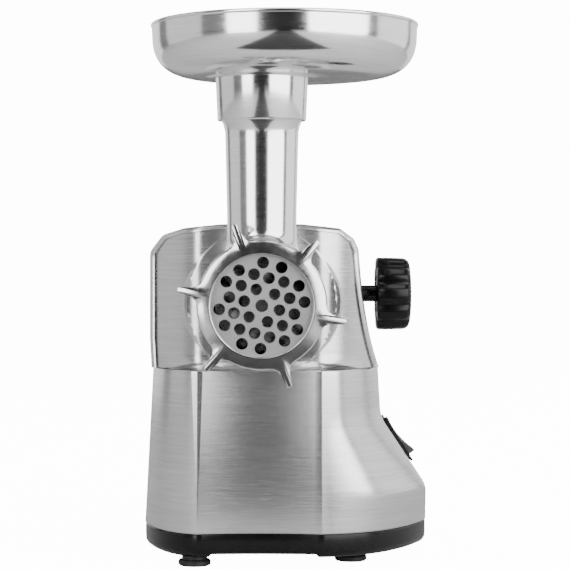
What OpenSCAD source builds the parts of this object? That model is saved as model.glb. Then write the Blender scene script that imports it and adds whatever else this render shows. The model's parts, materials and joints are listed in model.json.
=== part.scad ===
// Electric meat grinder with a lift-off tray, a removable grinding head and a geared motor base.
// Frame: +Z up, the grinding end faces -Y, the clamp knob and the switch are on +X.
// Origin: centre of the overall box, on the surface that the feet stand on.

/* [Overall] */
// Overall length from the tray's front edge to the rear cover
overall_l = 300; // [290:1:310]
// Height of the grinding axis above the table
axis_z = 153.5; // [150:0.5:156]
// Sideways place of the grinding axis
axis_x = -14.7; // [-16:0.1:-13]
// Gap between parts of different bodies that don't bear on each other
gap = 0.3; // [0.2:0.05:0.4]

/* [Tray] */
// Outer radius of the tray's rim
tray_r = 75; // [72:0.5:76]
// Height of the tray's rim above the table
tray_top_z = 310.5; // [308:0.5:314]
// Sideways offset of the dish from the feed tube
tray_offset = 12.7; // [8:0.1:15]
// Thickness of the tray's sheet
tray_wall = 1.2; // [1:0.1:1.5]

/* [Grinding head] */
// Radius of the feed tube's passage
feed_bore_r = 17.5; // [16:0.5:18]
// Radius of the barrel's bore
barrel_bore_r = 27; // [26.8:0.1:27.3]
// Radius of the spigot that enters the base
spigot_r = 29.7; // [29.5:0.1:30]
// Radius of the grinding plate
plate_r = 31; // [31:0.1:31.2]
// Thickness of the grinding plate
plate_t = 5; // [4:0.5:5]
// Radius of each hole in the grinding plate
plate_hole_r = 3.25; // [2.5:0.05:3.4]
// Distance between neighbouring holes of the plate
plate_pitch = 8.4; // [8:0.1:8.5]

/* [Screw ring] */
// Radius of the ring's front face
ring_r = 35.1; // [35:0.1:36]
// Radius of the opening in front of the plate
ring_open_r = 27.9; // [26:0.1:28.5]
// Radius of the circle that the lug tips reach
lug_tip_r = 47; // [44:0.2:47.4]
// Number of lugs
lug_count = 6; // [4:1:6]

/* [Base] */
// Width of the base
body_w = 170; // [168:1:172]
// Height of the top of the housing
body_top_z = 199; // [198:0.5:200]
// Height of the ledge under the recessed upper face
ledge_z = 114.5; // [112:0.5:116]
// Depth of the recess above the ledge
ledge_d = 7; // [6:0.5:10]
// Height of the seam between steel and plastic
seam_z = 20; // [18:0.5:21]
// Thickness of the housing's sheet
shell_wall = 2; // [1.5:0.1:2.5]

/* [Drive] */
// Teeth of every driving pinion
pinion_teeth = 12; // [12:1:12]
// Teeth of the first wheel, next to the motor
wheel_1_teeth = 48; // [44:2:48]
// Teeth of the second wheel and of the output wheel
wheel_2_teeth = 44; // [40:2:44]
// Gear modules of the three stages, from the motor to the output
modules = [0.9, 1.1, 1.5];

/* [Knob and switch] */
// Radius of the clamp knob over its lobes
knob_r = 22; // [20:0.5:23]
// Number of lobes on the knob
knob_lobes = 10; // [6:1:12]
// Tilt of the rocker from level, to each side
rocker_tilt = 6; // [4:0.5:8]

/* [Hidden] */
$fn = 72;

// ---- places along Y, front to back ----
tube_y = tray_r - overall_l / 2;
ring_front_y = tube_y - 40;
ring_back_y = ring_front_y + 19.5;
plate_front_y = ring_front_y + 3.8;
plate_back_y = plate_front_y + plate_t;
knife_back_y = plate_back_y + 6.5;
barrel_front_y = plate_front_y + 1;
barrel_back_y = -44;
body_front_y = -47;
body_back_y = overall_l / 2;
face_y = body_front_y + ledge_d;
spigot_back_y = 8;
clamp_y = -3;
clamp_z = 158;
gearbox_y = 12;
cover_y = 46;
cover_t = 5;
motor_y = 56;

// ---- gear train ----
pressure_angle = 25;
addendum = 0.8;
dedendum = 1.05;
tooth_share = 0.475;
function gear_distance(stage, wheel_teeth) = modules[stage] * (pinion_teeth + wheel_teeth) / 2;
second_dir = -60;
first_dir = -135;
motor_dir = -60;
output_at = [axis_x, axis_z];
second_at = output_at + gear_distance(2, wheel_2_teeth) * heading(second_dir);
first_at = second_at + gear_distance(1, wheel_2_teeth) * heading(first_dir);
motor_at = first_at + gear_distance(0, wheel_1_teeth) * heading(motor_dir);

// ---- small helpers ----
function heading(a) = [cos(a), sin(a)];
function arc(c, r, a0, a1, n) = [for (i = [0 : n]) c + r * heading(a0 + (a1 - a0) * i / n)];
function bezier(a, b, c, n) = [for (i = [0 : n]) let (t = i / n)
    a * pow(1 - t, 2) + b * 2 * t * (1 - t) + c * pow(t, 2)];
function unit(v) = v / norm(v);
function left_normal(a, b) = let (d = unit(b - a)) [-d[1], d[0]];
// Moves each side of a counter-clockwise outline inwards by t
function inset(p, t) = [for (i = [0 : len(p) - 1])
    let (n = len(p), before = left_normal(p[(i + n - 1) % n], p[i]),
         after = left_normal(p[i], p[(i + 1) % n]))
    p[i] + (before + after) * t / (1 + before * after)];

// Draws an outline given in X and Z as a block from y0 to y1
module slab(y0, y1) {
    translate([0, y1, 0]) rotate([90, 0, 0]) linear_extrude(y1 - y0) children();
}
// A round bar along Y, centred at [x, z]
module bar(at, y0, y1, r, r2 = undef) {
    translate([at[0], y0, at[1]]) rotate([-90, 0, 0])
        cylinder(h = y1 - y0, r1 = r, r2 = is_undef(r2) ? r : r2);
}
// A turned shape about a line along Y: each point is [radius, y]
module turned(at, points) {
    translate([at[0], 0, at[1]]) rotate([-90, 0, 0]) rotate_extrude() polygon(points);
}
module tube(at, y0, y1, r, bore) {
    difference() {
        bar(at, y0, y1, r);
        bar(at, y0 - 1, y1 + 1, bore);
    }
}
// A cheese-head screw along +Y with its head at y0
module screw(at, y0, length, r, head_r, head_t) {
    bar(at, y0, y0 + head_t, head_r);
    bar(at, y0 + head_t, y0 + length, r);
}

// ---- gears ----
function involute(base_r, r) = let (t = sqrt(pow(r / base_r, 2) - 1)) t * 180 / PI - atan(t);
// One flank's half angle at radius r, for a tooth that fills tooth_share of the pitch
function half_angle(m, teeth, r) = let (pitch_r = m * teeth / 2, base_r = pitch_r * cos(pressure_angle))
    180 * tooth_share / teeth + involute(base_r, pitch_r) - involute(base_r, max(r, base_r));
function gear_points(m, teeth, turn) =
    let (pitch_r = m * teeth / 2, base_r = pitch_r * cos(pressure_angle),
         tip = pitch_r + addendum * m, root = pitch_r - dedendum * m, foot = max(base_r, root),
         radii = [for (i = [0 : 3]) foot + (tip - foot) * i / 3])
    [for (k = [0 : teeth - 1]) let (mid = turn + 360 * k / teeth) each concat(
        root < foot ? [root * heading(mid - half_angle(m, teeth, foot))] : [],
        [for (r = radii) r * heading(mid - half_angle(m, teeth, r))],
        [for (i = [3 : -1 : 0]) radii[i] * heading(mid + half_angle(m, teeth, radii[i]))],
        root < foot ? [root * heading(mid + half_angle(m, teeth, foot))] : [])];
module gear(at, y0, y1, m, teeth, turn, bore) {
    difference() {
        slab(y0, y1) translate(at) polygon(gear_points(m, teeth, turn));
        bar(at, y0 - 1, y1 + 1, bore);
    }
}
// A wheel has a tooth on the line towards its pinion, and the pinion has a gap on the line back
function pinion_turn(dir) = dir + 180 + 180 / pinion_teeth;

// ---- outlines of the base ----
half_w = body_w / 2;
crease_left = -52;
crease_right = 20;
front_bow = 4;
side_start_left = 5;
side_start_right = 22;
back_corner_r = 12;
slope_low = [82.6, 45.1];
slope_high = [60, 79];
slope_angle = 90 - atan2(slope_low[0] - slope_high[0], slope_high[1] - slope_low[1]);
slope_mid = [67.5, 67.9];
waist = [55.5, 113];
rim = 6;
cover_wall = 3;
shell_back_y = body_back_y - cover_wall;

// The housing seen from the front, in X and Z
front_outline = concat(
    [[-half_w, seam_z], [half_w, seam_z], [half_w, 37]],
    arc([half_w - 15, 37], 15, 8, 90 - slope_angle, 4),
    arc([76.8, 89.8], 20, 270 - slope_angle, 184, 4),
    bezier(waist, [45, 140], [42.3, 185.5], 8),
    [[39.5, 189.5], [31, 196]],
    [[8, body_top_z], [-38, body_top_z], [-60, 196.8], [-73, 193]],
    [[-81, 183], [-81, 132], [-80, ledge_z]]);

// The housing seen from above, in X and Y
plan_outline = concat(
    bezier([crease_left, body_front_y], [(crease_left + crease_right) / 2, body_front_y + front_bow],
           [crease_right, body_front_y], 8),
    bezier([crease_right + 1, body_front_y + 0.3], [62, -43], [half_w, side_start_right], 10),
    arc([half_w - back_corner_r, body_back_y - back_corner_r], back_corner_r, 0, 90, 5),
    arc([back_corner_r - half_w, body_back_y - back_corner_r], back_corner_r, 90, 180, 5),
    bezier([-half_w, side_start_left], [-76, -38], [crease_left - 1, body_front_y + 0.5], 8));

// Everything inside the housing's outer skin, moved inwards by t
module housing_block(t) {
    intersection() {
        slab(body_front_y - 1, body_back_y - t) polygon(inset(front_outline, t));
        union() {
            linear_extrude(ledge_z - t) polygon(inset(plan_outline, t));
            linear_extrude(body_top_z + 1) intersection() {
                polygon(inset(plan_outline, t));
                translate([0, ledge_d]) polygon(inset(plan_outline, t));
            }
        }
    }
}
module switch_place() {
    translate([slope_mid[0], switch_y, slope_mid[1]]) rotate([0, slope_angle, 0]) children();
}
module along_x(at, x0, x1, r) {
    translate([x0, at[0], at[1]]) rotate([0, 90, 0]) cylinder(h = x1 - x0, r = r);
}

// ---- tray and grinding head ----
tray_floor_z = 280.5;
collar_z = 256.3;
collar_r = 24.7;
collar_top_r = 26;
collar_wall = 1.3;
tube_seat_r = collar_r - collar_wall - gap;
tube_top_z = tray_floor_z - gap;

module hopper_tray() color("silver") {
    difference() {
        union() {
            translate([axis_x + tray_offset, tube_y, 0]) rotate_extrude($fn = 120) polygon(concat(
                [[0, tray_floor_z], [46, tray_floor_z]],
                bezier([50, tray_floor_z + 0.3], [71.5, 281.5], [74.3, 300], 8),
                [[tray_r, tray_top_z - 1], [tray_r - 0.3, tray_top_z], [tray_r - 2, tray_top_z],
                 [tray_r - 2.2, tray_top_z - 1]],
                bezier([74.3 - tray_wall, 300], [70.5, 283], [50, tray_floor_z + tray_wall + 0.3], 8),
                [[0, tray_floor_z + tray_wall]]));
            translate([axis_x, tube_y, 0]) rotate_extrude() polygon([
                [collar_r - collar_wall, collar_z], [collar_r, collar_z],
                [collar_top_r, tray_floor_z + 0.2], [collar_top_r - collar_wall, tray_floor_z + 0.2]]);
        }
        translate([axis_x, tube_y, tray_floor_z - 1]) cylinder(h = 4, r = feed_bore_r + 2);
    }
}

barrel_r = 34.5;
thread_r = 33;
ring_fit = 0.1;
barrel_floor_y = -47;
journal_r = 9;
module grinding_head() color("gainsboro") {
    difference() {
        union() {
            turned(output_at, [
                [0, barrel_front_y], [thread_r, barrel_front_y], [thread_r, ring_back_y + gap],
                [barrel_r, ring_back_y + 1.5], [barrel_r, barrel_back_y - gap],
                [spigot_r, barrel_back_y - gap], [spigot_r, spigot_back_y - 1.5],
                [spigot_r - 1.5, spigot_back_y], [0, spigot_back_y]]);
            translate([axis_x, tube_y, 0]) rotate_extrude() polygon([
                [0, axis_z], [19.3, axis_z], [19.5, 206], [20.7, 250.6], [22.4, collar_z - gap],
                [tube_seat_r, collar_z + gap], [tube_seat_r, tube_top_z - 1],
                [tube_seat_r - 1, tube_top_z], [0, tube_top_z]]);
        }
        bar(output_at, ring_front_y, barrel_floor_y, barrel_bore_r);
        bar(output_at, ring_front_y, plate_back_y + 0.1, plate_r + 0.1);
        bar(output_at, barrel_floor_y - 1, spigot_back_y + 1, journal_r);
        translate([axis_x, tube_y, axis_z]) cylinder(h = 200, r = feed_bore_r);
        translate([axis_x - 1.5, plate_front_y, axis_z - plate_r - 1.2]) cube([3, plate_t, 2]);
    }
}
module plate_key() color("dimgray") {
    translate([axis_x - 1.45, barrel_front_y + 0.3, axis_z - plate_r - 1.1]) cube([2.9, 3.4, 2.8]);
}

flight_r = barrel_bore_r - 0.7;
core_r = 11;
auger_back_y = -48;
function flight_shape(n) = [for (i = [0 : n - 1]) let (a = 360 * i / n)
    (core_r + (flight_r - core_r) * pow(abs(cos(a / 2)), 14)) * heading(a)];
stud_r = 3.4;
square_w = 9;
module auger() color("lightgray") {
    translate([axis_x, knife_back_y + 0.2, axis_z]) rotate([-90, 0, 0])
        linear_extrude(auger_back_y - knife_back_y - 0.2, twist = -900, slices = 44)
            polygon(flight_shape(28));
    slab(plate_back_y + 0.2, knife_back_y + 0.4) translate(output_at) square(square_w, center = true);
    bar(output_at, plate_front_y - 0.2, plate_back_y + 0.4, stud_r);
    bar(output_at, auger_back_y - 0.2, spigot_back_y, journal_r - 0.08);
}
module thrust_washer() color("white") {
    tube(output_at, auger_back_y + 0.05, barrel_floor_y, 14, journal_r);
}
coupling_r = 9.5;
module drive_coupling() color("ivory") {
    difference() {
        slab(spigot_back_y, 22) translate(output_at) circle(coupling_r, $fn = 6);
        bar(output_at, spigot_back_y - 1, 23, 2);
        bar(output_at, 18, 23, 4);
    }
}
module coupling_screw() color("silver") {
    bar(output_at, 18, 20.5, 4);
    bar(output_at, spigot_back_y, 18, 2);
}

knife_tip_r = 26.4;
module cutting_knife() color("silver") {
    difference() {
        slab(plate_back_y + 0.1, knife_back_y) translate(output_at) difference() {
            union() {
                circle(10.5);
                for (i = [0 : 3]) rotate(45 + 90 * i)
                    polygon([[0, -4.5], [knife_tip_r - 4, -3.6], [knife_tip_r - 0.5, -1],
                             [knife_tip_r - 0.6, 3.6], [8, 4.6], [0, 7]]);
            }
            square(square_w + 0.1, center = true);
        }
        for (i = [0 : 3]) translate([axis_x, plate_back_y + 3.4, axis_z]) rotate([0, -45 - 90 * i, 0])
            translate([12, 0, 1.2]) rotate([24, 0, 0]) cube([20, 10, 10]);
    }
}

// Rows of the plate's holes: [height in pitches, offsets along the row in pitches]
plate_rows = [[0, [-2.17, -1.17, 1.17, 2.17]], [0.92, [-2.61, -1.62, -0.62, 0.62, 1.62, 2.61]],
              [-0.92, [-2.61, -1.62, -0.62, 0.62, 1.62, 2.61]], [1.84, [-2, -1, 0, 1, 2]],
              [-1.84, [-2, -1, 0, 1, 2]], [2.71, [-0.62, 0.62]], [-2.71, [-0.62, 0.62]]];
plate_tilt = -14.6;
module grinding_plate() color("darkgray") {
    difference() {
        bar(output_at, plate_front_y, plate_back_y, plate_r);
        for (row = plate_rows, u = row[1]) {
            spot = [u * cos(plate_tilt) - row[0] * sin(plate_tilt),
                    u * sin(plate_tilt) + row[0] * cos(plate_tilt)];
            bar(output_at + plate_pitch * spot, plate_front_y - 1, plate_back_y + 1, plate_hole_r);
        }
        bar(output_at, plate_front_y - 1, plate_back_y + 1, stud_r + 0.08);
        translate([axis_x - 1.8, plate_front_y - 1, axis_z - plate_r - 1]) cube([3.6, plate_t + 2, 3.2]);
    }
}

lug_first = 109;
// A lug seen from the front, along +X: a fin with hollow flanks, steeper on one side
function lug_shape(root_r) = concat(
    bezier([root_r - 2, -7], [root_r + 2.5, -2.5], [lug_tip_r - 0.6, -2], 6),
    [[lug_tip_r, -0.8], [lug_tip_r - 0.2, 0.6]],
    bezier([lug_tip_r - 1.6, 0.4], [root_r + 0.5, 1.5], [root_r - 2.5, 11], 6));
module screw_ring() color("silver") {
    difference() {
        union() {
            turned(output_at, [[0, ring_front_y + 1], [ring_open_r + 2, ring_front_y + 1],
                [ring_r - 1.5, ring_front_y], [ring_r, ring_front_y + 1],
                [ring_r + 1, ring_back_y], [0, ring_back_y]]);
            for (i = [0 : lug_count - 1])
                slab(ring_front_y + 1.5, ring_back_y - 2.5) translate(output_at)
                    rotate(lug_first - 360 * i / lug_count) polygon(lug_shape(ring_r));
        }
        bar(output_at, ring_front_y - 1, ring_back_y, ring_open_r);
        bar(output_at, plate_front_y - 0.1, ring_back_y + 1, thread_r + ring_fit);
    }
}

// ---- socket and clamp in the base ----
socket_r = 35.3;
flange_r = 42;
clamp_boss_r = 10;
clamp_bush_r = 6.5;
screw_r = 4;
pad_r = 3.6;
pad_x = axis_x + spigot_r + 0.25;
pad_t = 3.5;
bush_x = 22;
bush_end_x = 36;
knob_x = 53.7;
knob_t = 20.3;
socket_screw_r = 38.8;
module head_socket() color("darkgray") {
    difference() {
        union() {
            bar(output_at, barrel_back_y, gearbox_y, socket_r);
            bar(output_at, gearbox_y - 4, gearbox_y, flange_r);
            along_x([clamp_y, clamp_z], axis_x + 25, bush_end_x, clamp_boss_r);
        }
        bar(output_at, barrel_back_y - 1, gearbox_y + 1, spigot_r + 0.08);
        along_x([clamp_y, clamp_z], axis_x + 20, bush_end_x + 1, screw_r + 0.3);
        along_x([clamp_y, clamp_z], bush_x, bush_end_x + 1, clamp_bush_r);
        for (a = [45 : 90 : 315])
            bar(output_at + socket_screw_r * heading(a), gearbox_y - 5, gearbox_y + 1, 1.5);
    }
}
module socket_screws() color("gray") {
    for (a = [45 : 90 : 315])
        screw(output_at + socket_screw_r * heading(a), gearbox_y - 6, 9.5, 1.5, 2.8, 2);
}
module clamp_bush() color("goldenrod") {
    difference() {
        along_x([clamp_y, clamp_z], bush_x, bush_end_x, clamp_bush_r);
        along_x([clamp_y, clamp_z], bush_x - 1, bush_end_x + 1, screw_r + 0.06);
    }
}
module clamp_pad() color("goldenrod") {
    along_x([clamp_y, clamp_z], pad_x, pad_x + pad_t, pad_r);
}
module clamp_screw() color("silver") {
    along_x([clamp_y, clamp_z], pad_x + pad_t + 0.05, 40, screw_r);
    along_x([clamp_y, clamp_z], 40, knob_x, 4.9);
    along_x([clamp_y, clamp_z], knob_x, knob_x + 12, screw_r);
}
knob_valley = 0.9;
function knob_shape(n) = [for (i = [0 : n - 1]) let (a = 360 * i / n)
    (knob_r - knob_valley + knob_valley * (1 - 2 * pow(abs(sin(a * knob_lobes / 2)), 6))) * heading(a)];
module clamp_knob() color("black") {
    difference() {
        intersection() {
            translate([knob_x, clamp_y, clamp_z]) rotate([0, 90, 0])
                linear_extrude(knob_t) polygon(knob_shape(120));
            translate([0, clamp_y, clamp_z]) rotate([0, 90, 0]) rotate_extrude() polygon([
                [0, knob_x], [knob_r - 1, knob_x], [knob_r, knob_x + 1], [knob_r, knob_x + knob_t - 4],
                [knob_r - 1.2, knob_x + knob_t - 1.2], [knob_r - 4, knob_x + knob_t],
                [0, knob_x + knob_t]]);
        }
        along_x([clamp_y, clamp_z], knob_x - 1, knob_x + 12, screw_r);
    }
}

// ---- output shaft and reduction gears ----
socket_shaft_r = 15;
output_gear_y = 25;
output_gear_w = 12;
second_wheel_y = 39.5;
second_wheel_w = 5;
first_wheel_y = 17.5;
first_wheel_w = 5;
gear_shaft_r = 3;
shaft_fit = 0.05;
rear_journal_r = 6;
bush_wall = 2.5;
module output_shaft() color("silver") {
    difference() {
        union() {
            bar(output_at, spigot_back_y + 1, 24.5, socket_shaft_r);
            bar(output_at, 24.5, output_gear_y + output_gear_w + 1, 9);
            bar(output_at, output_gear_y + output_gear_w, cover_y + cover_t, rear_journal_r);
        }
        slab(0, 22.5) translate(output_at) circle(coupling_r + 0.25, $fn = 6);
    }
}
module output_gear() color("gray") {
    difference() {
        gear(output_at, output_gear_y, output_gear_y + output_gear_w, modules[2], wheel_2_teeth,
             second_dir, 9);
        for (side = [output_gear_y - 1, output_gear_y + output_gear_w - 3])
            tube(output_at, side, side + 4, 27, 14);
    }
}
module output_front_bush() color("goldenrod") {
    tube(output_at, gearbox_y, gearbox_y + 8, socket_shaft_r + bush_wall, socket_shaft_r + shaft_fit);
}
module output_rear_bush() color("goldenrod") {
    tube(output_at, cover_y - 3, cover_y + cover_t, rear_journal_r + bush_wall,
         rear_journal_r + shaft_fit);
}
module second_gear() color("silver") {
    gear(second_at, output_gear_y - 0.5, second_wheel_y, modules[2], pinion_teeth,
         pinion_turn(second_dir), gear_shaft_r + shaft_fit);
    gear(second_at, second_wheel_y, second_wheel_y + second_wheel_w, modules[1], wheel_2_teeth,
         first_dir, gear_shaft_r + shaft_fit);
}
module second_gear_shaft() color("gray") {
    bar(second_at, gearbox_y, cover_y + cover_t, gear_shaft_r);
}
module first_gear() color("ivory") {
    gear(first_at, first_wheel_y, first_wheel_y + first_wheel_w, modules[0], wheel_1_teeth,
         motor_dir, gear_shaft_r + shaft_fit);
    gear(first_at, first_wheel_y + first_wheel_w, second_wheel_y + second_wheel_w, modules[1],
         pinion_teeth, pinion_turn(first_dir), gear_shaft_r + shaft_fit);
}
module first_gear_shaft() color("gray") {
    bar(first_at, gearbox_y, cover_y + cover_t, gear_shaft_r);
}

// ---- gearbox casting and cover ----
box_wall = 3;
output_room_r = 35.2;
second_room_r = 26.2;
first_room_r = 23.4;
motor_room_r = 8;
gearbox_screw_r = 2;
// The gear train's outline, grown by t
module train_outline(t) {
    translate(output_at) circle(output_room_r + t);
    translate(second_at) circle(second_room_r + t);
    translate(first_at) circle(first_room_r + t);
    translate(motor_at) circle(motor_room_r + t);
}
boss_r = 4.5;
boss_spots = [output_at + 42 * heading(35), output_at + 42 * heading(145), output_at + 42 * heading(200),
              second_at + 33 * heading(-10), first_at + 30.5 * heading(180), first_at + 30.5 * heading(-115)];
module boss_outline() {
    for (spot = boss_spots) translate(spot) circle(boss_r);
}
module gearbox_housing() color("lightgray") {
    difference() {
        slab(gearbox_y, cover_y) {
            train_outline(box_wall);
            boss_outline();
        }
        slab(gearbox_y + box_wall + 1, cover_y + 1) difference() {
            train_outline(0);
            translate(output_at) circle(socket_shaft_r + bush_wall + 3);
        }
        slab(gearbox_y + 9, cover_y + 1) translate(output_at) circle(socket_shaft_r + bush_wall + 3.1);
        bar(output_at, gearbox_y - 1, gearbox_y + 10, socket_shaft_r + bush_wall);
        bar(second_at, gearbox_y - 1, gearbox_y + 5, gear_shaft_r);
        bar(first_at, gearbox_y - 1, gearbox_y + 5, gear_shaft_r);
        for (spot = boss_spots) bar(spot, gearbox_y + 10, cover_y + 1, gearbox_screw_r);
        for (a = [45 : 90 : 315])
            bar(output_at + socket_screw_r * heading(a), gearbox_y - 1, gearbox_y + 3.6, 1.5);
    }
}
bracket_screw_r = 2;
bracket_screws = [motor_at + [28, -27], motor_at + [-20, -27]];
module gearbox_cover() color("lightgray") {
    difference() {
        slab(cover_y, cover_y + cover_t) {
            train_outline(box_wall);
            boss_outline();
            translate(motor_at + [-30, -32]) square([64, 36]);
        }
        bar(output_at, cover_y - 1, cover_y + cover_t + 1, rear_journal_r + bush_wall);
        bar(second_at, cover_y - 1, cover_y + cover_t + 1, gear_shaft_r);
        bar(first_at, cover_y - 1, cover_y + cover_t + 1, gear_shaft_r);
        bar(motor_at, cover_y - 1, cover_y + cover_t + 1, 6.5);
        for (spot = boss_spots) bar(spot, cover_y - 1, cover_y + cover_t + 1, gearbox_screw_r);
        for (spot = bracket_screws) bar(spot, cover_y - 1, cover_y + cover_t + 1, bracket_screw_r);
    }
}
module gearbox_screws() color("gray") {
    for (spot = boss_spots) {
        bar(spot, cover_y + cover_t, cover_y + cover_t + 2.5, 3.6);
        bar(spot, cover_y - 20, cover_y + cover_t, gearbox_screw_r);
    }
}

// ---- motor ----
rotor_y = 76;
rotor_l = 34;
rotor_r = 19.5;
air_gap = 0.6;
stator_half = 32;
motor_shaft_r = 3.5;
bearing_r = 8;
bearing_w = 6;
commutator_y = 118;
rear_bracket_y = 134;
shaft_back_y = 142;
module motor_pinion() color("silver") {
    gear(motor_at, first_wheel_y - 0.5, first_wheel_y + first_wheel_w + 0.5, modules[0],
         pinion_teeth, pinion_turn(motor_dir), motor_shaft_r);
}
module motor_shaft() color("silver") {
    bar(motor_at, first_wheel_y - 0.5, shaft_back_y, motor_shaft_r);
}
module rotor_core() color("peru") {
    tube(motor_at, rotor_y, rotor_y + rotor_l, rotor_r, motor_shaft_r);
    tube(motor_at, rotor_y - 5, rotor_y, rotor_r - 5, motor_shaft_r);
    tube(motor_at, rotor_y + rotor_l, rotor_y + rotor_l + 6, rotor_r - 5, motor_shaft_r);
}
module commutator() color("orange") {
    tube(motor_at, commutator_y, commutator_y + 12, 11, motor_shaft_r);
}
fan_blades = 9;
module cooling_fan() color("ivory") {
    tube(motor_at, 63, 65, 26, motor_shaft_r);
    tube(motor_at, 65, 69, 7, motor_shaft_r);
    for (i = [0 : fan_blades - 1]) slab(65, 69) translate(motor_at) rotate(360 * i / fan_blades)
        translate([8, -0.75]) square([18, 1.5]);
}
module front_bearing() color("silver") {
    tube(motor_at, motor_y - 2, motor_y - 2 + bearing_w, bearing_r, motor_shaft_r + 0.03);
}
module rear_bearing() color("silver") {
    tube(motor_at, rear_bracket_y, rear_bracket_y + bearing_w, bearing_r, motor_shaft_r + 0.03);
}
bolt_spots = [[-27, -16], [27, -16]];
module motor_front_bracket() color("lightgray") {
    difference() {
        union() {
            slab(cover_y + cover_t, motor_y + 2) translate(motor_at + [-30, -32]) square([64, 36]);
            bar(motor_at, cover_y + cover_t, motor_y + 4, bearing_r + 3);
            for (spot = bolt_spots) bar(motor_at + spot, motor_y, rotor_y, 4);
        }
        bar(motor_at, motor_y - 2, motor_y + 5, bearing_r);
        bar(motor_at, cover_y, motor_y, 6);
        for (spot = boss_spots) bar(spot, cover_y, cover_y + cover_t + 2.6, 3.8);
        for (spot = bracket_screws) bar(spot, cover_y, motor_y + 3, bracket_screw_r);
        for (spot = bolt_spots) bar(motor_at + spot, motor_y + 4, rotor_y + 1, 2);
    }
}
module stator_core() color("dimgray") {
    difference() {
        slab(rotor_y, rotor_y + rotor_l) translate(motor_at) difference() {
            square(2 * stator_half, center = true);
            for (side = [-1, 1]) translate([0, 24.5 * side]) square([30, 7], center = true);
        }
        bar(motor_at, rotor_y - 1, rotor_y + rotor_l + 1, rotor_r + air_gap);
        for (spot = bolt_spots) bar(motor_at + spot, rotor_y - 1, rotor_y + rotor_l + 1, 2);
    }
}
module field_coils() color("peru") {
    for (side = [-1, 1]) slab(rotor_y - 6, rotor_y + rotor_l + 6) translate(motor_at + [0, 24.5 * side])
        square([29.6, 6.6], center = true);
}
holder_y = commutator_y + 6;
holder_x = 22;
brush_end_x = 22.2;
module brush_holders() color("goldenrod") {
    for (side = [-1, 1]) translate([motor_at[0] + side * holder_x, holder_y, motor_at[1]]) difference() {
        cube([16, 9, 11], center = true);
        translate([-side, 0, 0]) cube([16, 5.2, 7.2], center = true);
    }
}
module carbon_brushes() color("black") {
    for (side = [-1, 1]) translate([motor_at[0] + side * (brush_end_x - 5.5), holder_y, motor_at[1]])
        cube([11, 5, 7], center = true);
}
module brush_springs() color("silver") {
    for (side = [-1, 1]) translate([motor_at[0] + side * (brush_end_x + 3.4), holder_y, motor_at[1]])
        rotate([0, 90, 0]) difference() {
            union() {
                cylinder(h = 6.8, r = 2, center = true);
                for (i = [-2 : 2]) translate([0, 0, 1.4 * i]) cylinder(h = 0.8, r = 2.4, center = true);
            }
            cylinder(h = 8, r = 1.4, center = true);
        }
}
module motor_rear_bracket() color("lightgray") {
    difference() {
        union() {
            slab(rear_bracket_y, rear_bracket_y + 3) translate(motor_at) {
                square([2 * holder_x + 14, 12], center = true);
                hull() {
                    circle(bearing_r + 2);
                    for (spot = bolt_spots) translate(spot) circle(5);
                }
            }
            for (side = [-1, 1]) slab(holder_y + 4.5, rear_bracket_y + 1)
                translate(motor_at + [side * holder_x, 0]) square([12, 9], center = true);
            bar(motor_at, rear_bracket_y, rear_bracket_y + bearing_w + 1, bearing_r + 3);
            for (spot = bolt_spots) bar(motor_at + spot, rotor_y + rotor_l, rear_bracket_y, 4);
        }
        bar(motor_at, rear_bracket_y - 1, rear_bracket_y + bearing_w, bearing_r);
        bar(motor_at, rear_bracket_y, rear_bracket_y + bearing_w + 2, 5);
        for (spot = bolt_spots) bar(motor_at + spot, rotor_y, rear_bracket_y + 5, 2);
    }
}
module motor_screws() color("gray") {
    for (spot = bolt_spots) {
        bar(motor_at + spot, motor_y + 4, rear_bracket_y + 3, 2);
        bar(motor_at + spot, rear_bracket_y + 3, rear_bracket_y + 5.5, 3.8);
    }
    for (spot = bracket_screws) {
        bar(spot, cover_y + 1, motor_y + 2, bracket_screw_r);
        bar(spot, motor_y + 2, motor_y + 4.5, 3.8);
    }
}

// ---- base: housing, panels, skirt and feet ----
plate_z = 7;
plate_top_z = 9.5;
skirt_z = 6;
skirt_round = 6;
skirt_wall = 2.5;
slices = 4;
nose_r = 47;
nose_front_r = 43;
nose_hole_r = 36;
nose_depth = 9;
lip_h = 5;
vent_count = 9;
vent_pitch = 9;
vent_w = 46;
gland_at = [48, 40];
gland_r = 7;
cord_r = 4;
cover_screw_spots = [[-72, 34], [72, 34], [-62, 180], [26, 180]];
plate_screw_spots = [[-70, 20], [-70, 90], [72, 60], [60, 133], [-45, 133]];
foot_spots = [[-54, -31], [38, -13], [-62, 121], [62, 121]];
pillar_spots = [[-24, 84], [20, 84]];

module above_ledge(z) {
    translate([-body_w, -body_w, z]) cube([2 * body_w, 2 * body_w, body_w]);
}
module housing_skin() {
    difference() {
        housing_block(0);
        housing_block(shell_wall);
        translate([0, 0, -2 * shell_wall]) housing_block(shell_wall);
        translate([-body_w, shell_back_y, -1]) cube([2 * body_w, 20, body_w * 2]);
    }
}
panel_edge_z = ledge_z + 4;
module panel_window(t) {
    slab(body_front_y - 10, side_start_right + ledge_d + 12) intersection() {
        polygon(inset(front_outline, rim + t));
        translate([-body_w, panel_edge_z + t]) square([2 * body_w, body_w]);
    }
}
module housing_shell() color("silver") {
    difference() {
        housing_skin();
        panel_window(0);
        intersection() {
            bar(output_at, body_front_y - 5, 20, nose_r + 0.2);
            above_ledge(ledge_z);
            slab(body_front_y - 5, 20) polygon(inset(front_outline, rim));
        }
        along_x([clamp_y, clamp_z], 30, half_w, 5.4);
        switch_place() cube([28, 21, 20], center = true);
    }
}
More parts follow.
